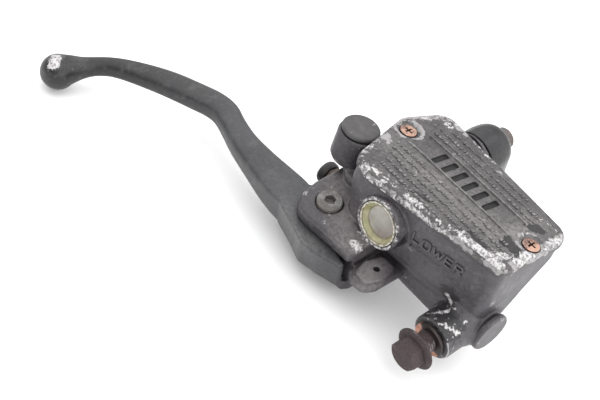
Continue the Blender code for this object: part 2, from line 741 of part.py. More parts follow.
def build_pivot_bolt(paint):
    profile = [(0, -20.9), (2.5, -20.9), (3.0, -20.3), (3.0, -14.0), (4.0, -13.6), (4.0, 14.1)]
    profile += [(6.0, 14.1), (6.0, 16.3), (5.4, 16.8), (0, 16.8)]
    bolt = lathe("lever_pivot_bolt", profile, tipped(PIVOT_X, PIVOT_U, 0), UP, 32)
    cut(bolt, hexagon("socket", 5.0, tipped(PIVOT_X, PIVOT_U, 13.9), 4, UP))
    return finish(bolt, paint, tipped(PIVOT_X, PIVOT_U, 0))


def build_pivot_nut(paint):
    nut = hexagon("lever_pivot_nut", 10, tipped(PIVOT_X, PIVOT_U, -19.7), 4.4, UP)
    cut(nut, rod("hole", 3.3, tipped(PIVOT_X, PIVOT_U, -21), 8, UP, 20))
    return finish(nut, paint, tipped(PIVOT_X, PIVOT_U, 0), 20)


def build_adjuster(paint):
    """Free play screw through the knocker, with a domed tip against the piston."""
    profile = [(0, -39.4), (4.2, -39.4), (4.2, -36.4), (3.0, -36.2), (3.0, -21.6), (2.4, -20.0)]
    profile += [(1.3, -19.3), (0, -19.1)]
    screw = lathe("adjuster_screw", profile, tipped(0, *ADJUSTER), INBOARD, 24)
    return finish(screw, paint, tipped(PIVOT_X, PIVOT_U, 0))


def build_adjuster_nut(paint):
    nut = hexagon("adjuster_lock_nut", 9, tipped(-36.0, *ADJUSTER), 4.0, INBOARD)
    cut(nut, rod("hole", 3.3, tipped(-39, *ADJUSTER), 10, INBOARD, 20))
    return finish(nut, paint, tipped(PIVOT_X, PIVOT_U, 0), 20)


def build_adjuster_cap(paint):
    """Rubber cap over the adjuster head."""
    profile = [(0, -41.6), (3.6, -41.5), (5.2, -40.9), (5.9, -39.8), (5.9, -37.5), (5.4, -36.6)]
    profile += [(4.5, -36.6), (4.5, -39.7), (0, -39.7)]
    cap = lathe("adjuster_cap", profile, tipped(0, *ADJUSTER), INBOARD, 28)
    return finish(cap, paint, tipped(PIVOT_X, PIVOT_U, 0))


# ---------------------------------------------------------------- clamp, outlet and mirror


def build_clamp_cap(paint):
    stations = [(CLAMP_JOINT + 0.3, CLAMP_HALF_WIDTH), (7.5, CLAMP_HALF_WIDTH), (10.5, 12.05), (13, 11.6), (14.8, 11)]
    stations += [(16.2, 10.2), (17.1, 9.5), (CLAMP_DEPTH, 8.6)]
    cap = clamp_slab("clamp_cap", stations)
    cut(cap, rod("bar", BAR_RADIUS, (-40, 0, 0), 80, INBOARD, 64))
    for z in (CLAMP_SCREW_Z, -CLAMP_SCREW_Z):
        cut(cap, rod("hole", 3.3, CLAMP @ Vector((0, -5, z)), 30, CLAMP_REAR, 16))
        cut(cap, rod("seat", 5.7, CLAMP @ Vector((0, CLAMP_DEPTH - 1.2, z)), 8, CLAMP_REAR, 24))
    return finish(cap, paint)


def build_clamp_screw(name, z, paint):
    head = CLAMP_DEPTH - 0.8
    profile = [(0, -12.6), (2.5, -12.6), (3.0, -12.0), (3.0, head), (5.4, head), (5.4, head + 6.2)]
    profile += [(4.9, head + 6.8), (0, head + 6.8)]
    screw = lathe(name, profile, CLAMP @ Vector((0, 0, z)), CLAMP_REAR, 28)
    cut(screw, hexagon("socket", 5.0, CLAMP @ Vector((0, head + 3.6, z)), 5, CLAMP_REAR))
    return finish(screw, paint)


def build_banjo_bolt(paint):
    """Hollow flange bolt, backed out as far as a hose end is thick."""
    place = tipped(OUTLET_X, 0, 0)
    profile = [(0, 10), (4.2, 10), (4.8, 10.6), (4.8, 32.1), (9.8, 32.1), (10.0, 32.9), (9.4, 33.5)]
    profile += [(7.8, 34.0), (0, 34.0)]
    bolt = lathe("banjo_bolt", profile, place, FORWARD, 36)
    head = hexagon("head", 12.7, tipped(OUTLET_X, -33.1, 0), 7.4, FORWARD)
    round_end = [(0, 31.7), (9, 31.7), (9, 38.4), (6.2, 40.5), (0, 40.5)]
    combine(head, lathe("dome", round_end, place, FORWARD, 36), "INTERSECT")
    add(bolt, head)
    cut(bolt, rod("feed", 2.0, tipped(OUTLET_X, -8, 0), 20, FORWARD, 16))
    across = Vector((math.cos(math.radians(15)), 0, -math.sin(math.radians(15))))
    cut(bolt, rod("cross", 1.5, tipped(OUTLET_X, -27, 0) - across * 8, 16, across, 16))
    return finish(bolt, paint, (0, 0, 0), 25)


def build_sealing_washer(paint):
    depth = -OUTLET_FACE_U + FIT
    profile = [(5.2, depth), (8.0, depth), (8.0, depth + 1.5), (5.2, depth + 1.5)]
    washer = lathe("sealing_washer", profile, tipped(OUTLET_X, 0, 0), FORWARD, 36)
    return finish(washer, paint)


def build_mirror_plug(paint):
    """Push-in rubber plug that closes the mirror thread."""
    profile = [(0, -9), (3.8, -9), (4.5, -8), (4.5, 0.3), (8.4, 0.3), (8.6, 1.0), (9.1, 1.2)]
    profile += [(9.1, 2.2), (8.5, 2.9), (6.0, 3.3), (0, 3.5)]
    plug = lathe("mirror_hole_plug", profile, (MIRROR_X, MIRROR_Y, MIRROR_TOP), TOP, 36)
    return finish(plug, paint)


# ---------------------------------------------------------------- assembly


def clear_scene():
    for obj in list(bpy.data.objects):
        bpy.data.objects.remove(obj)


def build():
    clear_scene()
    cast = (0.075, 0.072, 0.076)
    steel = (0.30, 0.29, 0.28)
    rubber = (0.022, 0.022, 0.023)
    build_body(material("cast_body", cast, 0.55))
    build_cover(material("cast_cover", (0.10, 0.095, 0.095), 0.6))
    build_diaphragm_plate(material("plate_plastic", (0.04, 0.04, 0.04), 0.5))
    build_diaphragm(material("diaphragm_rubber", rubber, 0.75))
    build_cover_screw("cover_screw_outboard", SCREW_X_OUTBOARD, material("screw_steel_a", (0.42, 0.2, 0.1), 0.6, 0.6))
    build_cover_screw("cover_screw_inboard", SCREW_X_INBOARD, material("screw_steel_b", (0.42, 0.2, 0.1), 0.6, 0.6))
    build_sight_glass(material("sight_glass_clear", (0.75, 0.75, 0.5), 0.2, 0.0, 0.6))
    build_sight_ring(material("sight_ring_plastic", (0.5, 0.5, 0.32), 0.4))
    build_port_shield(material("shield_steel", (0.5, 0.5, 0.5), 0.35, 1.0))
    build_piston(material("piston_aluminium", (0.6, 0.6, 0.62), 0.3, 1.0))
    build_cup("primary_cup", 2.7, MOUTH_X + 29.9, 4.0, material("primary_cup_rubber", rubber, 0.6))
    build_cup("secondary_cup", 4.7, MOUTH_X + 8.5, 3.6, material("secondary_cup_rubber", rubber, 0.6))
    build_spring(material("spring_steel", (0.45, 0.44, 0.42), 0.35, 1.0))
    build_stop_washer(material("stop_washer_steel", steel, 0.4, 1.0))
    build_circlip(material("circlip_steel", (0.15, 0.15, 0.15), 0.4, 1.0))
    build_boot(material("boot_rubber", rubber, 0.8))
    build_lever(material("lever_paint", (0.045, 0.045, 0.048), 0.5))
    build_bush(material("bush_brass", (0.6, 0.42, 0.16), 0.35, 1.0))
    build_pivot_bolt(material("pivot_bolt_steel", steel, 0.45, 1.0))
    build_pivot_nut(material("pivot_nut_steel", steel, 0.45, 1.0))
    build_adjuster(material("adjuster_steel", (0.12, 0.12, 0.12), 0.45, 1.0))
    build_adjuster_nut(material("adjuster_nut_steel", (0.12, 0.12, 0.12), 0.45, 1.0))
    build_adjuster_cap(material("adjuster_cap_rubber", rubber, 0.65))
    build_clamp_cap(material("clamp_cap_paint", (0.03, 0.03, 0.032), 0.35))
    build_clamp_screw("clamp_screw_upper", CLAMP_SCREW_Z, material("clamp_screw_steel_a", (0.1, 0.09, 0.09), 0.5, 0.8))
    build_clamp_screw("clamp_screw_lower", -CLAMP_SCREW_Z, material("clamp_screw_steel_b", (0.1, 0.09, 0.09), 0.5, 0.8))
    build_banjo_bolt(material("banjo_bolt_steel", (0.07, 0.06, 0.055), 0.4, 0.8))
    build_sealing_washer(material("washer_copper", (0.7, 0.36, 0.25), 0.35, 1.0))
    build_mirror_plug(material("mirror_plug_rubber", (0.03, 0.03, 0.03), 0.6))


build()
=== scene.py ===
"""Looks of the brake master cylinder: paint, raised marks, thread, parts that shorten, stage."""

import json
import math
import random

import bmesh
import bpy
from mathutils import Matrix, Vector
from mathutils.bvhtree import BVHTree


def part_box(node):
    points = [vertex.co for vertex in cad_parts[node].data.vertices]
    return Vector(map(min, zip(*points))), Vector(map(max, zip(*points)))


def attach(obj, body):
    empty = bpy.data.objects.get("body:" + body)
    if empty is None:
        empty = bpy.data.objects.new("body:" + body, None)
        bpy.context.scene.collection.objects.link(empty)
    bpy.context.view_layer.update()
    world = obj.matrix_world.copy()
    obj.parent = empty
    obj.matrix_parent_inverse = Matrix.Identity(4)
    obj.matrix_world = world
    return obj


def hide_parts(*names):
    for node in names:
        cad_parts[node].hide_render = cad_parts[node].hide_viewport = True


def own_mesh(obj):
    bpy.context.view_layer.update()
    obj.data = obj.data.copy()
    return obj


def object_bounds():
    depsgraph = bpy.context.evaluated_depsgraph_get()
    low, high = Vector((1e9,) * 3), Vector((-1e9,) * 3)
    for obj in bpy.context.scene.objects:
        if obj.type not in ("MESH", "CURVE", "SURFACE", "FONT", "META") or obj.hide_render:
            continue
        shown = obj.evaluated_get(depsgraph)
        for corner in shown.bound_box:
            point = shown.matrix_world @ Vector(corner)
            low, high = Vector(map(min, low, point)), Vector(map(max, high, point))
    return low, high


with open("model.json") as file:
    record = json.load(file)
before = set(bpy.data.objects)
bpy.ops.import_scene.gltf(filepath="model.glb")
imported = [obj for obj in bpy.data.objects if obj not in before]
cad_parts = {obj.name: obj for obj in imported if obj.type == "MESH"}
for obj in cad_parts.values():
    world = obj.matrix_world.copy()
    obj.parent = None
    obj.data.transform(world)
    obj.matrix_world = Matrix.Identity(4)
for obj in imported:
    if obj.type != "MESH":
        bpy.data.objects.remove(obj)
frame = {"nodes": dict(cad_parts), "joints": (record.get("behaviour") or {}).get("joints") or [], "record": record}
NODES = frame["nodes"]
CAD_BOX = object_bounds()
MM = 0.001
TINY = 1e-12  # keeps a segment of no length from dividing by zero
WELD_GAP = 0.000001

# A mesh is shaded smooth except across edges that turn by more than this.
MACHINED_EDGE = math.radians(32)
CASTING_EDGE = math.radians(170)
NEW_PIECE_EDGE = math.radians(35)


def joint(name):
    return next(j for j in frame["joints"] if j["name"] == name)


def mount(name):
    return next(m for m in frame["record"]["mounts"] if m["name"] == name)


def shade_times(colour, factor, lift=0.0):
    return tuple(min(1, c * factor + lift) for c in colour)


# ------------------------------------------------------------------ shader kit


class Graph:
    """Short calls for building a node tree."""

    def __init__(self, name):
        self.mat = bpy.data.materials.new(name)
        self.mat.use_nodes = True
        self.tree = self.mat.node_tree
        self.shader = self.tree.nodes["Principled BSDF"]
        self.place = self.node("ShaderNodeTexCoord").outputs["Object"]

    def node(self, kind, **settings):
        made = self.tree.nodes.new(kind)
        for key, value in settings.items():
            setattr(made, key, value)
        return made

    def feed(self, socket, value):
        if isinstance(value, bpy.types.NodeSocket):
            self.tree.links.new(value, socket)
        elif isinstance(value, (tuple, list)) and len(value) == 3 and socket.type == "RGBA":
            socket.default_value = (*value, 1)
        else:
            socket.default_value = value

    def math(self, operation, a, b=0.0, clamp=False):
        made = self.node("ShaderNodeMath", operation=operation, use_clamp=clamp)
        self.feed(made.inputs[0], a)
        self.feed(made.inputs[1], b)
        return made.outputs[0]

    def plus(self, a, b):
        return self.math("ADD", a, b)

    def minus(self, a, b):
        return self.math("SUBTRACT", a, b)

    def times(self, a, b):
        return self.math("MULTIPLY", a, b)

    def vector(self, operation, a, b=(0, 0, 0)):
        made = self.node("ShaderNodeVectorMath", operation=operation)
        self.feed(made.inputs[0], a)
        self.feed(made.inputs[1], b)
        return made.outputs["Value" if operation in ("DOT_PRODUCT", "LENGTH") else "Vector"]

    def scaled(self, vector, factor):
        """A fixed vector times a number that varies."""
        made = self.node("ShaderNodeVectorMath", operation="SCALE")
        made.inputs[0].default_value = tuple(vector)
        self.feed(made.inputs["Scale"], factor)
        return made.outputs[0]

    def noise(self, scale, detail=4.0, rough=0.55, warp=0.0, place=None):
        made = self.node("ShaderNodeTexNoise")
        self.feed(made.inputs["Vector"], place or self.place)
        made.inputs["Scale"].default_value = scale
        made.inputs["Detail"].default_value = detail
        made.inputs["Roughness"].default_value = rough
        made.inputs["Distortion"].default_value = warp
        return made.outputs["Fac"]

    def stretched(self, factors):
        made = self.node("ShaderNodeMapping")
        self.feed(made.inputs["Vector"], self.place)
        made.inputs["Scale"].default_value = factors
        return made.outputs[0]

    def step(self, value, low, high):
        """0 at low, 1 at high, smooth between; low may be the larger."""
        made = self.node("ShaderNodeMapRange", interpolation_type="SMOOTHSTEP")
        self.feed(made.inputs["Value"], value)
        made.inputs["From Min"].default_value = low
        made.inputs["From Max"].default_value = high
        return made.outputs["Result"]

    def mix(self, factor, a, b):
        """Mix of two colours."""
        return self.mixed("RGBA", factor, a, b)

    def blend(self, factor, a, b):
        """Mix of two numbers."""
        return self.mixed("FLOAT", factor, a, b)

    def mixed(self, kind, factor, a, b):
        made = self.node("ShaderNodeMix", data_type=kind)
        self.feed(made.inputs["Factor"], factor)
        self.feed(made.inputs["A"], a)
        self.feed(made.inputs["B"], b)
        return made.outputs["Result"]

    def falling(self, gap, reach):
        """1 at no gap, falling to 0 at reach."""
        return self.minus(1.0, self.math("DIVIDE", gap, reach, clamp=True))

    def near(self, a, b, reach):
        """1 on the segment from a to b, falling to 0 at reach from it."""
        a = Vector(a)
        along = Vector(b) - a
        offset = self.vector("SUBTRACT", self.place, tuple(a))
        unit = tuple(along / max(along.length_squared, TINY))
        share = self.vector("DOT_PRODUCT", offset, unit)
        share = self.math("MINIMUM", self.math("MAXIMUM", share, 0.0), 1.0)
        gap = self.vector("LENGTH", self.vector("SUBTRACT", offset, self.scaled(along, share)))
        return self.falling(gap, reach)

    def ring(self, centre, radius, axis, reach):
        """1 on a circle about a line along the axis, falling to 0 at reach from it."""
        offset = self.vector("SUBTRACT", self.place, tuple(centre))
        depth = self.vector("DOT_PRODUCT", offset, tuple(axis))
        flat = self.vector("LENGTH", self.vector("SUBTRACT", offset, self.scaled(axis, depth)))
        pair = self.node("ShaderNodeCombineXYZ")
        self.feed(pair.inputs["X"], self.minus(flat, radius))
        self.feed(pair.inputs["Y"], depth)
        return self.falling(self.vector("LENGTH", pair.outputs[0]), reach)

    def worn_places(self, places):
        """Strongest of several (a, b, reach, amount) fields; b may be a circle's (radius, axis)."""
        field = None
        for a, b, reach, amount in places:
            near = self.ring(a, *b, reach) if isinstance(b, tuple) else self.near(a, b, reach)
            here = self.times(near, amount)
            field = here if field is None else self.math("MAXIMUM", field, here)
        return field

    def edges(self, radius, low, high):
        """1 where the surface turns sharply within the radius."""
        bevel = self.node("ShaderNodeBevel", samples=6)
        bevel.inputs["Radius"].default_value = radius
        normal = self.node("ShaderNodeNewGeometry").outputs["Normal"]
        turn = self.minus(1.0, self.vector("DOT_PRODUCT", bevel.outputs[0], normal))
        return self.step(turn, low, high)

    def crest(self, low=0.52, high=0.6):
        """1 on outward edges of a dense mesh."""
        return self.step(self.node("ShaderNodeNewGeometry").outputs["Pointiness"], low, high)

    def openness(self, distance):
        """1 on an open surface, lower in corners about as narrow as the distance."""
        made = self.node("ShaderNodeAmbientOcclusion", samples=8)
        made.inputs["Distance"].default_value = distance
        return made.outputs["AO"]

    def bump(self, height, distance, strength):
        made = self.node("ShaderNodeBump")
        made.inputs["Distance"].default_value = distance
        made.inputs["Strength"].default_value = strength
        self.feed(made.inputs["Height"], height)
        return made.outputs[0]

    def finish(self, colour, rough, metal=0.0, normal=None):
        self.feed(self.shader.inputs["Base Color"], colour)
        self.feed(self.shader.inputs["Roughness"], rough)
        self.feed(self.shader.inputs["Metallic"], metal)
        if normal is not None:
            self.feed(self.shader.inputs["Normal"], normal)
        return self.mat


# Where the ragged field of cast_paint turns from paint to rubbed paint and to bare metal.
RUB_START, RUB_FULL = 0.62, 0.74
BARE_START, BARE_FULL = 0.735, 0.745
OXIDE_DARK = (0.17, 0.162, 0.168)
OXIDE_LIGHT = (0.56, 0.545, 0.545)
BLEACHED = (0.34, 0.325, 0.33)
SOOT_AND_SHADE_SHARE = 0.22  # brightness of the soot, and of the painted shade, against the darkest paint
CORNER_REACH = 0.005


def cast_paint(
    name, dark, light, dust, places=(), dusty=(), shaded_hollows=(), stains=(), grain=1.0, edge=0.5, chips=0.0,
    rough=(0.42, 0.62), fade=None, below=None, shine=0.5, corner_shade_amount=1.0, halo=1.4, flake=300, pale=(),
):
    """Worn paint on cast aluminium.

    Chipped at places, greyed at dusty, darkened with painted shade in corners and in the hollows under the height
    below, sooty at stains and bleached at pale. fade is (start, end, colour at the end). chips above 0 bares more
    of it.
    """
    g = Graph(name)
    soot_and_shade = tuple(c * SOOT_AND_SHADE_SHARE for c in dark)
    wide = g.noise(32, 3, 0.6)
    mid = g.noise(150, 5, 0.62, 0.4)
    grit = g.noise(560, 5, 0.72, 0.3)
    fine = g.noise(1300, 3, 0.7)

    # Coat, with dust and soot in its grain.
    colour = g.mix(g.step(wide, 0.3, 0.72), dark, light)
    if fade is not None:
        start, end, far_shade = fade
        along = Vector(end) - Vector(start)
        offset = g.vector("SUBTRACT", g.place, tuple(start))
        share = g.vector("DOT_PRODUCT", offset, tuple(along / along.length_squared))
        colour = g.mix(g.step(share, 0.0, 1.0), colour, far_shade)
    colour = g.mix(g.times(g.step(mid, 0.48, 0.78), 0.5), colour, dust)
    colour = g.mix(g.times(g.step(grit, 0.52, 0.7), 0.3 + 0.25 * grain), colour, dust)
    colour = g.mix(g.times(g.step(grit, 0.46, 0.34), 0.45 + 0.2 * grain), colour, soot_and_shade)
    colour = g.mix(g.times(g.step(fine, 0.42, 0.3), 0.5), colour, soot_and_shade)
    if dusty:
        haze = g.times(g.worn_places(dusty), g.blend(g.step(grit, 0.4, 0.62), 0.55, 1.0))
        colour = g.mix(g.step(haze, 0.0, 0.9), colour, tuple(c * 1.25 for c in dust))
    if pale:
        bleached = g.plus(g.noise(190, 6, 0.62, 0.4), g.times(g.worn_places(pale), 0.4))
        colour = g.mix(g.times(g.step(bleached, 0.64, 0.70), 0.85), colour, BLEACHED)

    # Chips: ragged noise, lifted on outward edges and at the worn places.
    ragged = g.noise(flake, 8, 0.68, 0.4)
    crest = g.times(g.crest(), edge)
    field = g.plus(ragged, g.times(crest, 0.28))
    field = g.plus(field, g.times(g.minus(g.noise(950, 2, 0.6), 0.5), 0.24))
    if places:
        field = g.plus(field, g.times(g.worn_places(places), 0.42))
    bare = g.step(field, BARE_START - chips, BARE_FULL - chips)
    rub = g.times(g.step(field, RUB_START - chips, RUB_FULL - chips), 0.4)
    colour = g.mix(rub, colour, shade_times(dust, halo))
    if stains:
        stained = g.plus(g.noise(210, 6, 0.7, 0.5), g.times(g.worn_places(stains), 0.4))
        colour = g.mix(g.times(g.step(stained, 0.66, 0.72), 0.9), colour, soot_and_shade)
    oxide = g.mix(g.step(g.noise(700, 4, 0.7), 0.40, 0.56), OXIDE_DARK, OXIDE_LIGHT)
    colour = g.mix(bare, colour, oxide)

    # Painted shade in corners, varied by a noise, and in the hollows between raised marks.
    corner_shade = g.step(g.openness(CORNER_REACH), 0.78, 0.35)
    corner_shade = g.times(corner_shade, g.blend(g.step(mid, 0.3, 0.6), 0.55 * corner_shade_amount, 0.9 * corner_shade_amount))
    colour = g.mix(corner_shade, colour, soot_and_shade)
    # Painted shade in the listed hollows, where the surface lies deeper than below.
    if shaded_hollows:
        hollow_shade = g.step(g.vector("DOT_PRODUCT", g.place, (0, 0, 1)), below, below - 0.0005)
        hollow_shade = g.times(hollow_shade, g.step(g.worn_places(shaded_hollows), 0.0, 0.15))
        colour = g.mix(g.times(hollow_shade, 0.97), colour, soot_and_shade)

    gloss = g.blend(g.step(mid, 0.3, 0.75), rough[0], rough[1])
    gloss = g.blend(bare, g.blend(corner_shade, gloss, 0.8), 0.55)
    height = g.times(g.plus(grit, g.times(fine, 0.5)), grain)
    height = g.minus(height, g.times(bare, 0.7))
    normal = g.bump(height, 0.0003 * max(1.0, grain), 0.85)
    g.shader.inputs["Specular IOR Level"].default_value = shine
    return g.finish(colour, gloss, g.times(bare, 0.2), normal)


def worn_steel(name, base, pale, rust, rust_amount, metal, rough, edge=0.6, lean=0.0006):
    """Oxidised steel: dull base, edges rubbed pale over the width lean, and patches of rust."""
    g = Graph(name)
    wide = g.noise(160, 4, 0.6)
    fine = g.noise(1100, 5, 0.7, 0.3)
    colour = g.mix(g.step(wide, 0.35, 0.7), base, tuple(c * 0.6 for c in base))
    rubbed = g.times(g.edges(lean, 0.008, 0.1), g.step(fine, 0.3, 0.5))
    rubbed = g.times(rubbed, edge)
    colour = g.mix(rubbed, colour, pale)
    patches = g.plus(wide, g.times(fine, 0.5))
    rusty = g.step(patches, 0.95 - rust_amount, 1.1 - rust_amount)
    rust_shade = g.mix(g.step(fine, 0.4, 0.65), rust, shade_times(rust, 1.7))
    colour = g.mix(rusty, colour, rust_shade)
    shine = g.blend(rusty, metal, 0.05)
    gloss = g.blend(rusty, g.blend(g.step(fine, 0.3, 0.7), rough - 0.1, rough + 0.12), 0.85)
    normal = g.bump(g.plus(fine, g.times(rusty, 0.5)), 0.00012, 0.7)
    return g.finish(colour, gloss, shine, normal)


# Rust tones. The dark one is also painted shade on each screw head's outboard side; the light one, painted light
# on its inboard side.
RUST_DARK_AND_SHADED = (0.115, 0.054, 0.040)
RUST_LIGHT_AND_LIT = (0.42, 0.245, 0.18)
RUST_FLECK = (0.62, 0.455, 0.37)
# Painted shade in the recess of a screw's cross.
RECESS_SHADE = (0.045, 0.020, 0.015)


def rusted_screw(name, node, lean, level):
    """Screw head with thin rust over worn plating, with painted shade on its outboard side and in its cross."""
    g = Graph(name)
    low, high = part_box(node)
    blots = g.noise(430, 5, 0.65, 0.5)
    fine = g.noise(1500, 4, 0.7)
    offset = g.vector("SUBTRACT", g.place, tuple((low + high) / 2))
    # Painted light and shade: the head grows lighter towards +x at the rate lean, mixed with rust blots.
    side = g.vector("DOT_PRODUCT", offset, (lean, 0, 0))
    lit_side_and_blots = g.step(g.plus(blots, side), level, level + 0.16)
    colour = g.mix(lit_side_and_blots, RUST_DARK_AND_SHADED, RUST_LIGHT_AND_LIT)
    colour = g.mix(g.times(g.step(fine, 0.5, 0.62), 0.6), colour, RUST_FLECK)
    # Painted shade where the cross recess closes in.
    colour = g.mix(g.step(g.openness(0.0016), 0.8, 0.45), colour, RECESS_SHADE)
    normal = g.bump(g.plus(blots, fine), 0.00025, 0.8)
    return g.finish(colour, g.blend(fine, 0.4, 0.65), g.blend(lit_side_and_blots, 0.05, 0.3), normal)


def rubber(name, dark, pale, rough, scuff):
    """Rubber with long pale scuffs."""
    g = Graph(name)
    mid = g.noise(140, 5, 0.6, 0.5)
    fine = g.noise(1600, 3, 0.7)
    colour = g.mix(g.step(mid, 0.35, 0.75), dark, pale)
    lines = g.noise(240, 4, 0.6, 0.2, g.stretched((1.0, 0.25, 1.0)))
    marks = g.times(g.step(lines, 0.62, 0.72), scuff)
    colour = g.mix(marks, colour, shade_times(pale, 2.2, 0.05))
    gloss = g.blend(mid, rough - 0.12, rough + 0.15)
    return g.finish(colour, gloss, 0.0, g.bump(g.plus(fine, mid), 0.00012, 0.6))


def bright_metal(name, tone, rough, lines_along=(1.0, 1.0, 12.0)):
    """Machined metal with fine tool lines across one axis."""
    g = Graph(name)
    lines = g.noise(900, 2, 0.5, 0.0, g.stretched(lines_along))
    blots = g.noise(120, 4, 0.6)
    colour = g.mix(g.step(blots, 0.3, 0.75), tone, tuple(c * 0.72 for c in tone))
    gloss = g.blend(lines, rough - 0.08, rough + 0.18)
    return g.finish(colour, gloss, 1.0, g.bump(lines, 0.00004, 0.5))


COPPER_CLEAN = (0.66, 0.34, 0.25)
COPPER_DULL = (0.38, 0.18, 0.13)
# Tarnish together with painted shade, over all of the washer but its two bright ends.
COPPER_TARNISH_AND_SHADE = (0.028, 0.020, 0.019)


def copper(name):
    """Crushed copper washer, dark with tarnish and painted shade but for two ends painted bright as highlights."""
    g = Graph(name)
    low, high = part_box("sealing_washer")
    mid = g.noise(260, 5, 0.6, 0.4)
    patch = g.noise(90, 3, 0.6, 0.3)
    colour = g.mix(g.step(mid, 0.35, 0.65), COPPER_CLEAN, COPPER_DULL)
    middle = (low + high) / 2
    # Two spots painted bright as highlights, at the ends of the washer's curved rim.
    upper = middle + Vector((-0.0080, 0, 0.0013))
    lower = middle + Vector((0.0055, 0.0013, -0.0062))
    highlight_spots = g.math("MAXIMUM", g.near(upper, upper, 0.007), g.near(lower, lower, 0.0055))
    highlit_ends = g.step(g.plus(g.times(patch, 0.6), highlight_spots), 0.66, 0.76)
    colour = g.mix(highlit_ends, COPPER_TARNISH_AND_SHADE, colour)
    normal = g.bump(mid, 0.00008, 0.5)
    return g.finish(colour, g.blend(mid, 0.28, 0.5), g.blend(highlit_ends, 0.1, 0.8), normal)


def window(name):
    """Yellowed sight glass: milky middle, greenish rim."""
    g = Graph(name)
    low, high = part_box("sight_glass")
    middle = (low + high) / 2
    radius = (high.x - low.x) / 2
    offset = g.vector("MULTIPLY", g.vector("SUBTRACT", g.place, tuple(middle)), (1, 0, 1))
    ring = g.math("DIVIDE", g.vector("LENGTH", offset), radius)
    cloud = g.noise(180, 5, 0.6, 0.5)
    side = g.step(g.vector("DOT_PRODUCT", offset, (70, 0, 0)), -0.4, 0.5)
    centre = g.mix(g.step(cloud, 0.3, 0.7), (0.28, 0.27, 0.235), (0.38, 0.37, 0.33))
    centre = g.mix(side, centre, (0.20, 0.175, 0.155))
    rim = g.mix(g.step(cloud, 0.3, 0.7), (0.27, 0.25, 0.125), (0.40, 0.38, 0.23))
    colour = g.mix(g.step(ring, 0.70, 0.75), centre, rim)
    seam = g.times(g.step(ring, 0.69, 0.72), g.step(ring, 0.78, 0.74))
    colour = g.mix(g.times(seam, 0.8), colour, (0.15, 0.12, 0.065))
    g.shader.inputs["Subsurface Weight"].default_value = 0.25
    g.shader.inputs["Subsurface Scale"].default_value = 0.002
    g.shader.inputs["Coat Weight"].default_value = 0.6
    g.shader.inputs["Coat Roughness"].default_value = 0.12
    return g.finish(colour, g.blend(cloud, 0.2, 0.4), 0.0, g.bump(cloud, 0.00005, 0.4))


def window_ring(name):
    """Crusted ring round the sight glass."""
    g = Graph(name)
    mid = g.noise(500, 6, 0.7, 0.6)
    colour = g.mix(g.step(mid, 0.42, 0.56), (0.17, 0.145, 0.10), (0.52, 0.50, 0.43))
    return g.finish(colour, 0.55, 0.0, g.bump(mid, 0.0002, 0.8))


# ------------------------------------------------------------------ frame pieces


def smooth_group(angle):
    """Shades a welded mesh smooth except across edges sharper than the angle."""
    group = bpy.data.node_groups.new("shade", "GeometryNodeTree")
    group.interface.new_socket("Geometry", in_out="INPUT", socket_type="NodeSocketGeometry")
    group.interface.new_socket("Geometry", in_out="OUTPUT", socket_type="NodeSocketGeometry")
    nodes = group.nodes
    links = group.links
    start = nodes.new("NodeGroupInput")
    end = nodes.new("NodeGroupOutput")
    plain = nodes.new("GeometryNodeRemoveAttribute")
    plain.inputs["Name"].default_value = "custom_normal"
    faces = nodes.new("GeometryNodeSetShadeSmooth")
    faces.domain = "FACE"
    turn = nodes.new("GeometryNodeInputMeshEdgeAngle")
    flat = nodes.new("FunctionNodeCompare")
    flat.operation = "LESS_THAN"
    flat.inputs[1].default_value = angle
    edges = nodes.new("GeometryNodeSetShadeSmooth")
    edges.domain = "EDGE"
    links.new(start.outputs[0], plain.inputs[0])
    links.new(plain.outputs[0], faces.inputs[0])
    links.new(faces.outputs[0], edges.inputs[0])
    links.new(turn.outputs["Unsigned Angle"], flat.inputs[0])
    links.new(flat.outputs[0], edges.inputs["Shade Smooth"])
    links.new(edges.outputs[0], end.inputs[0])
    return group


SHADE = smooth_group(MACHINED_EDGE)
SHADE_ALL = smooth_group(CASTING_EDGE)


def weld(obj):
    modifier = obj.modifiers.new("weld", "WELD")
    modifier.merge_threshold = WELD_GAP


def shade(obj, group):
    modifier = obj.modifiers.new("shade", "NODES")
    modifier.node_group = group


def turned(node, mat):
    """A small machined or moulded piece: welded, with smooth round faces."""
    obj = NODES[node]
    weld(obj)
    shade(obj, SHADE)
    obj.material_slots[0].material = mat


def cast(node, mat, voxel, rounds):
    """A casting: its corners and junctions get the small radii of a mould."""
    obj = NODES[node]
    weld(obj)
    remesh = obj.modifiers.new("remesh", "REMESH")
    remesh.mode = "VOXEL"
    remesh.voxel_size = voxel
    remesh.use_smooth_shade = True
    soften = obj.modifiers.new("soften", "SMOOTH")
    soften.factor = 0.5
    soften.iterations = rounds
    shade(obj, SHADE_ALL)
    obj.material_slots[0].material = mat


def surface(node):
    """Tree for finding a CAD node's surface."""
    data = NODES[node].data
    return BVHTree.FromPolygons([v.co for v in data.vertices], [p.vertices for p in data.polygons])


def new_piece(name, bm, mat, body):
    bmesh.ops.recalc_face_normals(bm, faces=bm.faces)
    mesh = bpy.data.meshes.new(name)
    bm.to_mesh(mesh)
    bm.free()
    obj = bpy.data.objects.new(name, mesh)
    bpy.context.scene.collection.objects.link(obj)
    mesh.materials.append(mat)
    mesh.shade_smooth()
    mesh.set_sharp_from_angle(angle=NEW_PIECE_EDGE)
    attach(obj, body)
    return obj


# Where a raised block's sides break: the share of its height, and of its width there.
SHOULDER_HEIGHT, SHOULDER_WIDTH = 0.55, 0.94


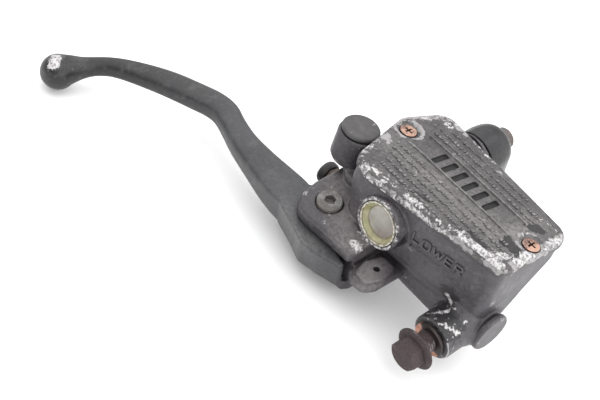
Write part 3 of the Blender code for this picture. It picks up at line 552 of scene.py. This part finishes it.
def raised_block(bm, centre, half, axes, height, sink=0.00015, taper=0.75):
    """Small raised block with sloping sides. It stands along the third of its axes."""
    across, along, out = axes
    levels = ((-sink, 1.0), (height * SHOULDER_HEIGHT, SHOULDER_WIDTH), (height, taper))
    rings = []
    for level, share in levels:
        ring = []
        for sx, sy in ((-1, -1), (1, -1), (1, 1), (-1, 1)):
            offset = across * (half[0] * sx * share)
            point = centre + offset + along * (half[1] * sy * share) + out * level
            ring.append(bm.verts.new(point))
        rings.append(ring)
    for low, high in zip(rings, rings[1:]):
        for i in range(4):
            bm.faces.new((low[i], low[(i + 1) % 4], high[(i + 1) % 4], high[i]))
    bm.faces.new(rings[0][::-1])
    bm.faces.new(rings[-1])


# ------------------------------------------------------------------ materials on the castings

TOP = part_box("reservoir_cover")[1].z
UP = (0, 0, 1)
OUTLET = Vector(mount("hose_seat")["pos_m"])
OUTWARDS = Vector(mount("hose_seat")["axis"])
# The hose seat's point lies this far beside the outlet's axis.
SEAT_SHIFT = Vector((0.0066, 0, 0))
# The fork's top face over the pivot.
FORK_TOP = Vector(joint("lever_pivot")["pos_m"]) + Vector((0, -0.003, 0.0145))


def on_cover(x, y, drop=0.0):
    """Point on the cover's top, or drop below it, from millimetres in the frame."""
    return Vector((x * MM, y * MM, TOP - drop * MM))


def by_fork(x, y, z):
    return FORK_TOP + Vector((x, y, z))


def paint_cover():
    wear = [
        (on_cover(-11, -72.4, 3), on_cover(38, -62.8, 3), 0.0042, 0.76),
        (on_cover(38, -62.8, 3), on_cover(62, -58, 3), 0.0032, 0.36),
        (on_cover(-14, -71.5), on_cover(38, -62.0), 0.0060, 0.64),
        (on_cover(-8, -66.5), on_cover(26, -64.5), 0.006, 0.43),
        (on_cover(41.5, -60.4), on_cover(61, -57.3), 0.0026, 3.2),
        (on_cover(39.6, -60), on_cover(41, -58.4), 0.004, 1.1),
        (on_cover(-21, -54), on_cover(-15.5, -68), 0.0048, 0.76),
        (on_cover(-27, -36), on_cover(-21, -51), 0.0044, 0.58),
        (on_cover(-21.5, -22), on_cover(-18.5, -12), 0.0036, 0.74),
        (on_cover(-15, -12.5), on_cover(-12.5, -13.5), 0.004, 0.72),
        (on_cover(-14, -8), on_cover(12, -10.2), 0.0022, 0.6),
        (on_cover(4.6, -9.6), on_cover(4.8, -9.6), 0.0026, 0.95),
        (on_cover(15.1, -10.6), on_cover(15.6, -10.6), 0.0028, 0.95),
        (on_cover(57, -56), on_cover(61.5, -47), 0.0066, 0.7),
        (on_cover(62.6, -50), on_cover(62.4, -18), 0.0054, 0.84),
        (on_cover(51, -17.4), on_cover(60, -16.4), 0.005, 0.6),
        (on_cover(56.7, -53), on_cover(57.2, -52), 0.003, 1.1),
        (on_cover(-18.8, -34), (0.0060, UP), 0.0020, 0.5),
        (on_cover(58.8, -34), (0.0059, UP), 0.0020, 0.55),
    ]
    dusty = [
        (on_cover(-14, -50), on_cover(48, -46), 0.016, 0.5),
        (on_cover(50, -40), on_cover(52, -24), 0.01, 0.6),
    ]
    stains = [
        (on_cover(52, -44), on_cover(57.5, -44.5), 0.006, 1.0),
        (on_cover(52.5, -27), on_cover(55, -24), 0.005, 1.0),
        (on_cover(12.7, -61.2), on_cover(19.8, -60), 0.0014, 1.4),
        (on_cover(41.4, -56.4), on_cover(50.3, -56.2), 0.0016, 1.4),
    ]
    pale = [
        (on_cover(-18.8, -34), (0.0061, UP), 0.0024, 0.8),
        (on_cover(58.8, -34), (0.0061, UP), 0.0022, 0.6),
        (on_cover(-26, -40), on_cover(-26, -30), 0.0042, 0.85),
        (on_cover(-25.5, -28), on_cover(-20, -12), 0.0042, 0.85),
        (on_cover(-20, -48), on_cover(-16, -50), 0.004, 0.7),
        (on_cover(-18, -9), on_cover(-6, -9), 0.0034, 0.7),
        (on_cover(63.5, -50), on_cover(63.5, -18), 0.0054, 0.9),
        (on_cover(56, -54), on_cover(62, -52), 0.007, 0.6),
        (on_cover(-10, -73, 2.5), on_cover(62, -58.8, 2.5), 0.003, 0.5),
    ]
    # Painted shade in the slots between the raised marks, where the cover lies below its top.
    slot_shade = [(on_cover(2, -34), on_cover(37, -34), 0.0055, 1.0)]
    paint = cast_paint(
        "cover_paint", (0.048, 0.044, 0.045), (0.094, 0.087, 0.088), (0.178, 0.168, 0.168),
        wear, dusty, slot_shade, stains, pale=pale, grain=1.5, edge=0.7, rough=(0.5, 0.7),
        below=TOP - 0.0004, halo=0.45, flake=250)
    cast("reservoir_cover", paint, 0.00028, 2)


def paint_body():
    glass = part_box("sight_glass")
    middle = (glass[0] + glass[1]) / 2
    pad = Vector(mount("switch_pad")["pos_m"])
    rim = OUTLET - SEAT_SHIFT - OUTWARDS * 0.0018
    spots = [OUTLET + Vector(place) * MM for place in (
        (-14.5, 13.0, 14.5), (-8.9, 8.2, 12.7), (-10.6, 12.7, 13.1), (0.9, 6.9, 9.6), (-1.0, 12.2, 12.2))]
    crust = [OUTLET + Vector((-0.0147, 0.0034, 0.0083)), OUTLET + Vector((-0.0015, 0.0036, 0.0107))]

    def by_glass(x, y, z):
        return middle + Vector((x, y, z))

    def by_pad(x, y, z):
        return pad + Vector((x, y, z))

    pale = [(rim, (0.0104, OUTWARDS), 0.0008, 1.3), (crust[0], crust[1], 0.008, 0.4)]
    wear = [
        (Vector((middle.x, glass[0].y - 0.0004, middle.z)), (0.0112, (0, 1, 0)), 0.0022, 0.68),
        (by_glass(-0.010, -0.003, -0.005), by_glass(0.001, -0.003, -0.0115), 0.0036, 0.9),
        (by_fork(0.0235, -0.0058, -0.001), by_fork(0.0285, -0.006, -0.0015), 0.0034, 1.0),
        (spots[0], spots[0], 0.0030, 0.95),
        (spots[1], spots[1], 0.0030, 0.95),
        (spots[0], spots[2], 0.0018, 0.8),
        (spots[3], spots[3], 0.0034, 0.9),
        (spots[3], spots[4], 0.0015, 0.85),
        (crust[0], crust[1], 0.0085, 0.54),
        (spots[2], spots[1], 0.007, 0.52),
        (by_pad(-0.004, -0.004, 0), by_pad(0.006, -0.006, -0.002), 0.004, 0.4),
    ]
    dusty = [
        (by_fork(-0.008, 0.012, 0), by_fork(0.021, -0.006, 0), 0.015, 0.95),
        (by_fork(0.010, 0.020, 0.003), by_fork(0.016, 0.008, 0), 0.014, 0.95),
        (by_pad(-0.004, 0.006, 0), by_pad(0.004, -0.004, 0), 0.012, 1.1),
    ]
    stains = [
        (crust[0], crust[1], 0.009, 1.2),
        (spots[0], spots[1], 0.008, 1.0),
        (spots[2], spots[3], 0.007, 0.9),
        (by_glass(0.0125, 0.001, -0.001), by_glass(0.010, 0.001, -0.009), 0.0045, 1.0),
        (by_glass(0.0108, -0.003, 0.004), by_glass(0.0108, -0.003, -0.004), 0.003, 0.9),
        (by_glass(0.004, 0.002, -0.013), by_glass(-0.006, 0.002, -0.013), 0.004, 0.7),
    ]
    paint = cast_paint(
        "body_paint", (0.034, 0.030, 0.036), (0.056, 0.051, 0.058), (0.115, 0.105, 0.106),
        wear, dusty, (), stains, pale=pale, grain=0.6, edge=0.42, rough=(0.36, 0.52))
    cast("master_body", paint, 0.00042, 3)


def paint_lever():
    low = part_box("brake_lever")[0]
    ball = Vector((low.x + 0.0095, low.y + 0.0095, low.z + 0.011))

    def by_ball(x, y, z):
        return ball + Vector((x, y, z))

    wear = [
        (by_ball(-0.002, -0.002, 0.0075), by_ball(0.001, -0.005, 0.006), 0.0065, 1.1),
        (by_ball(0.030, 0.050, 0.010), by_ball(0.060, 0.066, 0.012), 0.004, 0.35),
    ]
    dusty = [(by_fork(-0.012, -0.016, -0.008), by_fork(0.006, -0.018, -0.012), 0.016, 0.7)]
    fade = (by_ball(0.10, 0.085, 0), by_ball(0.016, 0.012, 0), (0.005, 0.005, 0.006))
    paint = cast_paint(
        "lever_paint", (0.031, 0.031, 0.034), (0.046, 0.047, 0.051), (0.094, 0.090, 0.092),
        wear, dusty, grain=0.14, edge=0.35, chips=-0.01, rough=(0.32, 0.48), fade=fade)
    cast("brake_lever", paint, 0.00042, 16)


def paint_cap():
    paint = cast_paint(
        "cap_paint", (0.018, 0.018, 0.020), (0.026, 0.026, 0.028), (0.05, 0.048, 0.05),
        grain=0.14, edge=0.15, chips=-0.04, rough=(0.24, 0.34), shine=0.3)
    cast("clamp_cap", paint, 0.00035, 8)


# ------------------------------------------------------------------ materials on the small parts

# Base, rubbed edge and rust colours.
DULL = ((0.19, 0.186, 0.18), (0.42, 0.41, 0.40), (0.10, 0.092, 0.085))
DARK = ((0.045, 0.037, 0.038), (0.46, 0.43, 0.42), (0.036, 0.025, 0.025))
CLAMP = ((0.12, 0.11, 0.108), (0.28, 0.265, 0.26), (0.085, 0.07, 0.066))
BLACK_SCREW = ((0.1, 0.1, 0.1), (0.3, 0.3, 0.3), (0.1, 0.07, 0.05))
BLACK_NUT = ((0.11, 0.11, 0.11), (0.32, 0.32, 0.31), (0.1, 0.07, 0.05))
BLACK_RING = ((0.12, 0.12, 0.12), (0.3, 0.3, 0.3), (0.1, 0.07, 0.05))
WASHER = ((0.3, 0.3, 0.3), (0.5, 0.5, 0.5), (0.12, 0.09, 0.06))

# Node, material, colours, then worn_steel's rust amount, metal, rough and, for some, edge and lean.
STEEL_PARTS = (
    ("lever_pivot_bolt", "bolt_steel", DULL, (0.34, 0.65, 0.42, 0.9)),
    ("lever_pivot_nut", "nut_steel", DULL, (0.34, 0.65, 0.42, 0.9)),
    ("banjo_bolt", "banjo_steel", DARK, (0.4, 0.45, 0.4, 1.0, 0.0009)),
    ("clamp_screw_upper", "clamp_steel_a", CLAMP, (0.38, 0.5, 0.45, 0.5)),
    ("clamp_screw_lower", "clamp_steel_b", CLAMP, (0.38, 0.5, 0.45, 0.5)),
    ("adjuster_screw", "adjuster_black", BLACK_SCREW, (0.3, 0.6, 0.42)),
    ("adjuster_lock_nut", "adjuster_nut_black", BLACK_NUT, (0.3, 0.6, 0.42)),
    ("piston_circlip", "circlip_black", BLACK_RING, (0.25, 0.8, 0.36)),
    ("piston_stop_washer", "stop_washer_steel", WASHER, (0.25, 0.9, 0.32)),
)

SEAL = ((0.025, 0.025, 0.027), (0.04, 0.04, 0.042))

# Node, material, dark and pale colours, rough, scuff.
RUBBER_PARTS = (
    ("adjuster_cap", "adjuster_rubber", ((0.02, 0.018, 0.018), (0.045, 0.041, 0.04)), 0.52, 0.6),
    ("mirror_hole_plug", "plug_rubber", ((0.05, 0.047, 0.047), (0.085, 0.082, 0.082)), 0.62, 0.8),
    ("diaphragm", "diaphragm_rubber", SEAL, 0.6, 0.1),
    ("primary_cup", "primary_rubber", SEAL, 0.45, 0.1),
    ("secondary_cup", "secondary_rubber", SEAL, 0.45, 0.1),
    ("diaphragm_plate", "plate_plastic", ((0.04, 0.04, 0.042), (0.06, 0.06, 0.062)), 0.45, 0.2),
)


def paint_hardware():
    turned("cover_screw_outboard", rusted_screw("screw_rust_a", "cover_screw_outboard", 20, 0.40))
    turned("cover_screw_inboard", rusted_screw("screw_rust_b", "cover_screw_inboard", 90, 0.46))
    for node, name, colours, wear in STEEL_PARTS:
        turned(node, worn_steel(name, *colours, *wear))
    for node, name, colours, rough, scuff in RUBBER_PARTS:
        turned(node, rubber(name, *colours, rough, scuff))
    turned("piston", bright_metal("piston_alloy", (0.62, 0.62, 0.64), 0.28, (14.0, 1.0, 1.0)))
    turned("port_shield", bright_metal("shield_steel", (0.5, 0.5, 0.5), 0.32))
    turned("lever_bush", bright_metal("bush_brass", (0.62, 0.44, 0.18), 0.32))
    turned("sealing_washer", copper("washer_copper"))
    turned("sight_glass", window("window_glass"))
    turned("sight_glass_ring", window_ring("window_ring"))

    boot = rubber("boot_rubber", (0.03, 0.03, 0.03), (0.05, 0.048, 0.046), 0.7, 0.3)
    turned("dust_boot", boot)
    shortening("folding_boot", "dust_boot", boot)
    wire = bright_metal("spring_wire", (0.42, 0.41, 0.4), 0.3)
    turned("return_spring", wire)
    shortening("closing_spring", "return_spring", wire)


# ------------------------------------------------------------------ parts that shorten


def shortening(name, node, mat):
    """Stands for a node that shortens with the piston, as its record row says: a welded copy of its mesh, fixed to
    the housing, with the node hidden.
    """
    bm = bmesh.new()
    bm.from_mesh(NODES[node].data)
    bmesh.ops.remove_doubles(bm, verts=bm.verts, dist=WELD_GAP)
    piece = new_piece(name, bm, mat, "housing")
    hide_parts(node)
    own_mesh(piece)


# ------------------------------------------------------------------ raised marks and threads

AXES = (Vector((1, 0, 0)), Vector((0, 1, 0)), Vector((0, 0, 1)))

# Y, start x, end x and size of each row of dashes, in millimetres but for the size.
MARK_ROWS = (
    (-62.6, -8, 30, 1.0), (-58.4, -9, 44, 1.0), (-54.2, -12, 55, 0.9), (-50.0, -14, 56, 0.9),
    (-45.8, -15, 54, 0.9), (-23.4, -13, 50, 0.9), (-19.2, -13, 50, 0.9), (-15.0, -10, 40, 0.8),
)
RULE_ROWS = (-40.5, -27.5)


def cover_marks(mat):
    """Rows of short raised dashes and two rules cast into the cover, worn low."""
    rng = random.Random(7)
    bm = bmesh.new()
    for y, start, end, size in MARK_ROWS:
        x = start + rng.uniform(0, 1.5)
        while x < end:
            length = rng.choice((0.5, 0.6, 0.8, 1.1, 1.7)) * size
            lean = rng.uniform(-0.3, 0.3)
            high = rng.choice((0.85, 1.0, 0.5, 0.35)) * size
            lift = rng.uniform(-0.25, 0.25) if high < 0.8 * size else 0.0
            across = Vector((math.cos(lean), math.sin(lean), 0))
            along = Vector((-math.sin(lean), math.cos(lean), 0))
            centre = on_cover(x + length / 2, y + lift)
            block = (length / 2 * MM, high * MM)
            raised_block(bm, centre, block, (across, along, AXES[2]), rng.uniform(0.12, 0.26) * MM)
            x += length + rng.choice((0.5, 0.6, 0.8, 1.6))
    for y in RULE_ROWS:
        raised_block(bm, on_cover(19.2, y), (0.0316, 0.0004), AXES, 0.0005, 0.0001, 0.7)
    return new_piece("cover_cast_marks", bm, mat, "housing")


# Strokes of each letter in a unit box.
LETTERS = {
    "L": [((0, 0), (0, 1)), ((0, 0), (0.8, 0))],
    "O": [((0, 0.2), (0, 0.8)), ((0.9, 0.2), (0.9, 0.8)), ((0.2, 0), (0.7, 0)), ((0.2, 1), (0.7, 1)),
          ((0, 0.2), (0.2, 0)), ((0.7, 0), (0.9, 0.2)), ((0.9, 0.8), (0.7, 1)), ((0.2, 1), (0, 0.8))],
    "W": [((0, 1), (0.25, 0)), ((0.25, 0), (0.5, 0.75)), ((0.5, 0.75), (0.75, 0)), ((0.75, 0), (1, 1))],
    "E": [((0, 0), (0, 1)), ((0, 0), (0.75, 0)), ((0, 0.5), (0.65, 0.5)), ((0, 1), (0.75, 1))],
    "R": [((0, 0), (0, 1)), ((0, 1), (0.65, 1)), ((0.65, 1), (0.8, 0.75)), ((0.8, 0.75), (0.65, 0.5)),
          ((0.65, 0.5), (0, 0.5)), ((0.35, 0.5), (0.8, 0))],
}
# Letter, x of its left side and width, in millimetres.
WORD = (("L", 23.4, 3.7), ("O", 28.3, 4.3), ("W", 33.9, 5.1), ("E", 40.3, 4.2), ("R", 45.5, 4.4))
WORD_FOOT = 13.0
WORD_HEIGHT = 4.5
IN_FRONT = -0.12  # a y that lies in front of the whole body
STROKE_OVERLAP = 0.0004
STROKE_HALF_WIDTH = 0.00055


def level_word(mat):
    """Raised word beside the sight glass that names the lowest fluid level."""
    tree = surface("master_body")
    bm = bmesh.new()
    for letter, x, width in WORD:
        for stroke in LETTERS[letter]:
            points = []
            for u, v in stroke:
                eye = Vector(((x + u * width) * MM, IN_FRONT, (WORD_FOOT + v * WORD_HEIGHT) * MM))
                seen = tree.ray_cast(eye, AXES[1])
                points.append((seen[0], seen[1]))
            (a, out), (b, _) = points
            along = (b - a).normalized()
            across = along.cross(out).normalized()
            half = ((b - a).length / 2 + STROKE_OVERLAP, STROKE_HALF_WIDTH)
            raised_block(bm, (a + b) / 2, half, (along, across, out), 0.0007, 0.0002, 0.75)
    return new_piece("level_word", bm, mat, "housing")


THREAD_SIDES = 28  # steps in a turn
THREAD_FADE = 10  # steps over which each end of the ridge rises
THREAD_FOOT = 0.42  # half the ridge's width, as a share of the pitch
THREAD_SINK = 0.0001  # how deep the ridge's foot lies in the shank


def thread(name, start, direction, length, radius, pitch, depth, mat, body):
    """Helical thread ridge round a shank."""
    bm = bmesh.new()
    axis = Vector(direction).normalized()
    side = axis.orthogonal().normalized()
    other = axis.cross(side)
    total = int(length / pitch * THREAD_SIDES)
    rings = []
    for i in range(total + 1):
        turn = 2 * math.pi * i / THREAD_SIDES
        out = side * math.cos(turn) + other * math.sin(turn)
        rise = min(1.0, i / THREAD_FADE, (total - i) / THREAD_FADE)
        centre = Vector(start) + axis * (pitch * i / THREAD_SIDES)
        foot = centre + out * (radius - THREAD_SINK)
        half = axis * pitch * THREAD_FOOT
        ring = [foot - half, centre + out * (radius + depth * rise), foot + half]
        rings.append([bm.verts.new(p) for p in ring])
    for low, high in zip(rings, rings[1:]):
        for i in range(3):
            j = (i + 1) % 3
            bm.faces.new((low[i], low[j], high[j], high[i]))
    bm.faces.new(rings[0][::-1])
    bm.faces.new(rings[-1])
    return new_piece(name, bm, mat, body)


# ------------------------------------------------------------------ stage

FLOOR_SIZE = 6
FLOOR_GAP = 0.0004  # between the part's lowest point and the floor
SKY_STRENGTH = 0.94
# Name, place, size and power of each light. They point at LIT.
LIGHTS = (("key", (0.9, 0.3, 0.8), 2.6, 30.0), ("top", (-0.5, 0.0, 1.1), 2.0, 13.5))
LIT = Vector((-0.04, -0.05, 0.0))

LENS_MM = 66.0
SENSOR_MM = 36.0
CAMERA_PLACE = (0.19137, -0.38112, 0.32156)
CAMERA_RIGHT = Vector((0.62002, 0.73877, 0.26419))
CAMERA_UP = Vector((-0.64699, 0.29096, 0.70480))
CAMERA_BACK = Vector((0.44382, -0.60792, 0.65838))


def build_stage():
    low = CAD_BOX[0]
    bpy.ops.mesh.primitive_plane_add(size=FLOOR_SIZE, location=(0, 0, low.z - FLOOR_GAP))
    floor = bpy.context.object
    floor.name = "floor"
    g = Graph("floor_white")
    white = g.mix(g.noise(3, 2, 0.5), (0.93, 0.93, 0.93), (0.95, 0.95, 0.95))
    floor.data.materials.append(g.finish(white, 0.9))

    world = bpy.data.worlds.new("studio")
    bpy.context.scene.world = world
    world.use_nodes = True
    world.node_tree.nodes["Background"].inputs["Color"].default_value = (1.0, 1.0, 1.0, 1)
    world.node_tree.nodes["Background"].inputs["Strength"].default_value = SKY_STRENGTH

    for name, place, size, power in LIGHTS:
        add_light(name, place, size, power)


def add_light(name, place, size, power):
    data = bpy.data.lights.new(name, "AREA")
    data.shape = "SQUARE"
    data.size = size
    data.energy = power
    lamp = bpy.data.objects.new(name, data)
    bpy.context.scene.collection.objects.link(lamp)
    lamp.location = place
    lamp.rotation_euler = (LIT - Vector(place)).to_track_quat("-Z", "Y").to_euler()


def build_camera():
    data = bpy.data.cameras.new("camera")
    data.lens = LENS_MM
    data.sensor_width = SENSOR_MM
    data.clip_start = 0.01
    data.clip_end = 20.0
    camera = bpy.data.objects.new("camera", data)
    bpy.context.scene.collection.objects.link(camera)
    turn = Matrix((CAMERA_RIGHT, CAMERA_UP, CAMERA_BACK)).transposed().to_4x4()
    camera.matrix_world = Matrix.Translation(CAMERA_PLACE) @ turn
    bpy.context.scene.camera = camera


def main():
    paint_cover()
    paint_body()
    paint_lever()
    paint_cap()
    paint_hardware()
    # The raised marks get little of the painted corner shade.
    marks = cast_paint(
        "mark_paint", (0.088, 0.082, 0.083), (0.160, 0.150, 0.150), (0.27, 0.26, 0.26),
        grain=0.8, edge=0.0, chips=0.09, rough=(0.5, 0.7), corner_shade_amount=0.3)
    cover_marks(marks)
    word = cast_paint(
        "word_paint", (0.040, 0.036, 0.042), (0.066, 0.060, 0.066), (0.13, 0.12, 0.122),
        grain=0.4, edge=0.0, rough=(0.34, 0.5))
    level_word(word)
    thread_start = OUTLET - SEAT_SHIFT - OUTWARDS * 0.0012
    bolt_steel = NODES["banjo_bolt"].material_slots[0].material
    thread("banjo_bolt_thread", thread_start, OUTWARDS, 0.0066, 0.0048, 0.00125, 0.0003,
           bolt_steel, "housing")
    build_stage()
    build_camera()
    bpy.context.scene.view_settings.view_transform = "Standard"


main()
